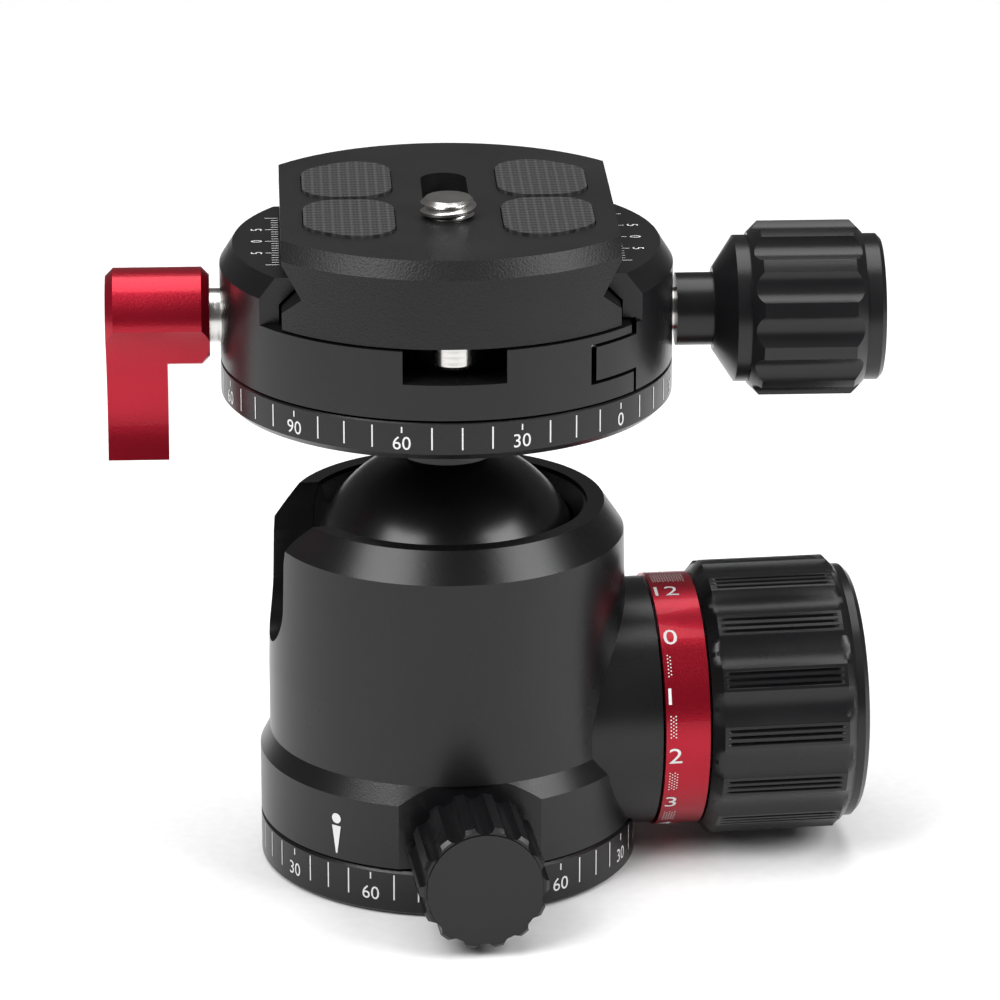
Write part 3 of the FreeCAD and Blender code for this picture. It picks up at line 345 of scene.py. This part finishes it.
addMarks("index_mark", onUpright(flat, indexMark["radius"] + indexMark["lift"]), faces, "housing")

# level marks along both jaws, numbered 5 0 5
jawMarks = {
    "height": 74.73, "reach": 10, "gap": 0.95, "tickWidth": 0.16, "short": 0.8, "long": 1.5,
    "digit": 1.3, "every": 5, "tickPlace": 19.2, "digitPlace": 21.7,
}
for body, name, side in (("clamp", "left_jaw_marks", -1), ("jaw", "right_jaw_marks", 1)):
    shapes = []
    ticks = []
    for k in range(-jawMarks["reach"], jawMarks["reach"] + 1):
        length = jawMarks["long"] if k % jawMarks["every"] == 0 else jawMarks["short"]
        across = side * (jawMarks["tickPlace"] + length / 2)
        ticks.append([across, k * jawMarks["gap"], length, jawMarks["tickWidth"]])
    for k in (-jawMarks["every"], 0, jawMarks["every"]):
        across = side * jawMarks["digitPlace"]
        shapes.append(numberShape(
            str(abs(k)), jawMarks["digit"], -side * math.pi / 2, across, k * jawMarks["gap"],
        ))
    shapes.append(rectangles(ticks))
    flat, faces = gather(shapes)
    points = np.column_stack([flat, np.full(len(flat), jawMarks["height"])]) * mm
    addMarks(name, points, faces, body)

# tension ring numbers 0 to 12 from one left edge, with more dots between the higher ones
ringMarks = {
    "radius": 14.9, "lift": 0.04, "left": 24.05, "one": 21.5, "count": 13, "digit": 1.95, "wide": 1.3,
    "dotStart": 24.25, "dot": 0.15, "pitch": 0.3, "line": 0.21, "lines": 6,
}
ringStep = 360.0 / ringMarks["count"]
shapes = []
dots = []
for number in range(ringMarks["count"]):
    degrees = ringMarks["one"] - (number - 1) * ringStep
    arc = math.radians(degrees) * ringMarks["radius"]
    digits, rows = numberShape(str(number), ringMarks["digit"], 0.0, 0.0, arc, ringMarks["wide"])
    digits[:, 0] += ringMarks["left"] - digits[:, 0].min()
    shapes.append((digits, rows))
    if number < ringMarks["count"] - 1:
        columns = number + 2
        half = math.radians(degrees - ringStep / 2) * ringMarks["radius"]
        for column in range(columns):
            across = ringMarks["dotStart"] + column * ringMarks["pitch"]
            for line in range(-ringMarks["lines"], ringMarks["lines"] + 1):
                if (column + line) % 2 == 0:
                    up = half + line * ringMarks["line"]
                    dots.append([across, up, ringMarks["dot"], ringMarks["dot"]])
shapes.append(rectangles(dots))
flat, faces = gather(shapes)
points = onMainAxis(flat, ringMarks["radius"] + ringMarks["lift"])
addMarks("tension_ring_marks", points, faces, "tension", "red_anodised")
print("marks made")


# a closed surface from rows of one turned profile, its radius a function of the angle
def turnedGrid(alongs, radiusAt, turns):
    angle = np.linspace(0, 2 * math.pi, turns, endpoint=False)
    count = len(alongs)
    radius = radiusAt(angle[None, :])
    along = np.repeat(np.asarray(alongs)[:, None], turns, 1)
    i = np.arange(count - 1)[:, None]
    j = np.arange(turns)[None, :]
    after = (j + 1) % turns
    faces = np.stack([i * turns + j, i * turns + after, (i + 1) * turns + after, (i + 1) * turns + j], -1)
    return along, radius, angle, faces.reshape(-1, 4)


# camera screw: thread radius falls and rises with height and turning angle
screwShape = {
    "head": 6.4, "headLow": 70.4, "headHigh": 73.9, "neck": 2.4, "low": 79.7, "high": 81.7,
    "radius": 3.175, "pitch": 1.27, "depth": 0.6, "steep": 2.6, "crest": 0.3, "edge": 0.6,
    "lowEdge": 0.2, "place": -7.0, "rows": 90, "turns": 120, "centre": 0.001,
}
threadRows = np.linspace(screwShape["low"], screwShape["high"], screwShape["rows"])
headRows = [screwShape[key] for key in ("headLow", "headLow", "headHigh", "headHigh", "low")]
alongs = np.concatenate([headRows, threadRows, [screwShape["high"]]])


def screwRadius(angle):
    phase = (threadRows[:, None] / screwShape["pitch"] - angle / (2 * math.pi)) % 1.0
    wave = np.clip(np.abs(phase - 0.5) * screwShape["steep"] - screwShape["crest"], 0, 1)
    top = np.clip(screwShape["edge"] - (screwShape["high"] - threadRows), 0, None)
    foot = np.clip(screwShape["lowEdge"] - (threadRows - screwShape["low"]), 0, None)
    chamfer = np.maximum(top, foot)[:, None]
    thread = screwShape["radius"] - np.maximum(screwShape["depth"] * wave, chamfer)
    plain = np.ones_like(angle)
    first = [screwShape[key] * plain for key in ("centre", "head", "head", "neck", "neck")]
    return np.concatenate(first + [thread, screwShape["centre"] * plain])


along, radius, angle, faces = turnedGrid(alongs, screwRadius, screwShape["turns"])
x = radius * np.cos(angle)
y = radius * np.sin(angle) + screwShape["place"]
points = np.stack([x, y, along], -1).reshape(-1, 3) * mm
threaded = addMesh("camera_screw_threaded", points, faces, steelZ, "camera_screw")
threaded.data.polygons.foreach_set("use_smooth", np.ones(len(threaded.data.polygons), bool))
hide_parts("camera_screw")

# main knob: smooth hollows, and between them groups of fine grooves
knobShape = {
    "start": 29.2, "end": 46.3, "radius": 16.2, "lead": 14.9, "last": 15.0, "edge": 1.2,
    "count": 15, "phase": math.radians(56.8), "hollow": 0.5, "hollowShare": 0.3,
    "groove": 0.38, "grooveShare": 0.115, "grooveSide": 40.0, "grooveFrom": 30.8, "grooveTo": 44.6,
    "grooveRun": 0.5, "recess": 13.4, "floor": 45.2, "bore": 4.0, "turns": 1800,
}
knobFrom = knobShape["start"] + knobShape["edge"]
knobTo = knobShape["end"] - knobShape["edge"]
fullFrom = knobShape["grooveFrom"] + knobShape["grooveRun"]
fullTo = knobShape["grooveTo"] - knobShape["grooveRun"]
bodyRows = np.concatenate([
    np.linspace(knobShape["start"], knobFrom, 3),
    np.linspace(knobShape["grooveFrom"], fullFrom, 3),
    [36.0, 40.0],
    np.linspace(fullTo, knobShape["grooveTo"], 3),
    np.linspace(knobTo, knobShape["end"], 3),
])
backRows = [knobShape[key] for key in ("end", "floor", "floor", "start")]
alongs = np.concatenate([[knobShape["start"]], bodyRows, backRows])


def knobRadius(angle):
    stops = [knobShape["start"], knobFrom, knobTo, knobShape["end"]]
    radii = [knobShape[key] for key in ("lead", "radius", "radius", "last")]
    lead = np.interp(bodyRows, stops, radii)[:, None]
    share = ((angle - knobShape["phase"]) * knobShape["count"] / (2 * math.pi)) % 1.0 - 0.5
    hollow = knobShape["hollow"] * np.clip(1 - (share / knobShape["hollowShare"]) ** 2, 0, 1)
    group = np.clip((np.abs(share) - knobShape["hollowShare"]) * knobShape["grooveSide"], 0, 1)
    teeth = np.cos(2 * math.pi * (np.abs(share) - 0.5) / knobShape["grooveShare"])
    ends = np.minimum(bodyRows - knobShape["grooveFrom"], knobShape["grooveTo"] - bodyRows)
    inside = np.clip(ends / knobShape["grooveRun"], 0, 1)[:, None]
    sunk = knobShape["groove"] * group * np.clip(teeth, 0, 1) * inside
    surface = np.minimum(lead, knobShape["radius"] - hollow) - sunk
    plain = np.ones_like(angle)
    rest = [knobShape[key] * plain for key in ("recess", "recess", "bore", "bore")]
    return np.concatenate([knobShape["bore"] * plain, surface] + rest)


along, radius, angle, faces = turnedGrid(alongs, knobRadius, knobShape["turns"])
points = aboutMainAxis(along, radius * np.sin(angle), radius * np.cos(angle))
grooved = addMesh("lock_knob_grooved", points, faces, satin, "lock_knob")
grooved.data.polygons.foreach_set("use_smooth", np.ones(len(grooved.data.polygons), bool))
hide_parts("lock_knob")
for made in (threaded, grooved):
    made.data.set_sharp_from_angle(angle=math.radians(32))
print("threads and grooves made")

# camera as fitted to the photo
camera = {
    "lens": 194.4, "sensor": 36.0, "elevation": 19.0, "azimuth": -2.68, "distance": 0.6263,
    "across": 0.00617, "up": -0.00651, "aim": 0.05,
}
e, a = math.radians(camera["elevation"]), math.radians(camera["azimuth"])
back = Vector((math.sin(a) * math.cos(e), -math.cos(a) * math.cos(e), math.sin(e)))
right = Vector((math.cos(a), math.sin(a), 0))
upward = back.cross(right)
data = bpy.data.cameras.new("camera")
data.lens = camera["lens"]
data.sensor_width = camera["sensor"]
data.clip_start = 0.01
data.clip_end = 20
eye = bpy.data.objects.new("camera", data)
bpy.context.scene.collection.objects.link(eye)
turning = Matrix((right, upward, back)).transposed().to_4x4()
spot = back * camera["distance"] + right * camera["across"] + upward * camera["up"]
spot = spot + Vector((0, 0, camera["aim"]))
eye.matrix_world = Matrix.Translation(spot) @ turning
bpy.context.scene.camera = eye

# pale floor and soft studio lamps
floorHalf = 0.55
floorDrop = 0.0002
floorMesh = bpy.data.meshes.new("floor")
floorCorners = [(x * floorHalf, y * floorHalf, 0) for x, y in ((-1, -1), (1, -1), (1, 1), (-1, 1))]
floorMesh.from_pydata(floorCorners, [], [(0, 1, 2, 3)])
floor = bpy.data.objects.new("floor", floorMesh)
floor.location.z = -floorDrop
bpy.context.scene.collection.objects.link(floor)
floorPaint = paint("floorWhite", 0.92)
floorMesh.materials.append(floorPaint.material)
lamps = (
    {"name": "key", "place": (-0.55, -0.45, 0.75), "size": 0.6, "power": 9.0},
    {"name": "fill", "place": (0.65, -0.35, 0.55), "size": 0.5, "power": 6.0},
    {"name": "top", "place": (0.0, 0.15, 0.95), "size": 0.8, "power": 8.0},
)
lampAim = 0.04
for lamp in lamps:
    light = bpy.data.lights.new(lamp["name"], "AREA")
    light.size = lamp["size"]
    light.energy = lamp["power"]
    holder = bpy.data.objects.new(lamp["name"], light)
    bpy.context.scene.collection.objects.link(holder)
    holder.location = lamp["place"]
    holder.rotation_mode = "QUATERNION"
    toward = Vector((0, 0, lampAim)) - Vector(lamp["place"])
    holder.rotation_quaternion = toward.to_track_quat("-Z", "Y")
world = bpy.data.worlds.new("studio")
bpy.context.scene.world = world
world.use_nodes = True
backdrop = {"seen": 1.0, "felt": 0.12}
path = world.node_tree.nodes.new("ShaderNodeLightPath")
share = Term(world.node_tree, path.outputs["Is Camera Ray"])
strength = share * (backdrop["seen"] - backdrop["felt"]) + backdrop["felt"]
shade = world.node_tree.nodes["Background"]
shade.inputs["Color"].default_value = (1, 1, 1, 1)
world.node_tree.links.new(strength.socket, shade.inputs["Strength"])
bpy.context.scene.view_settings.view_transform = "Standard"
print("camera and light set")
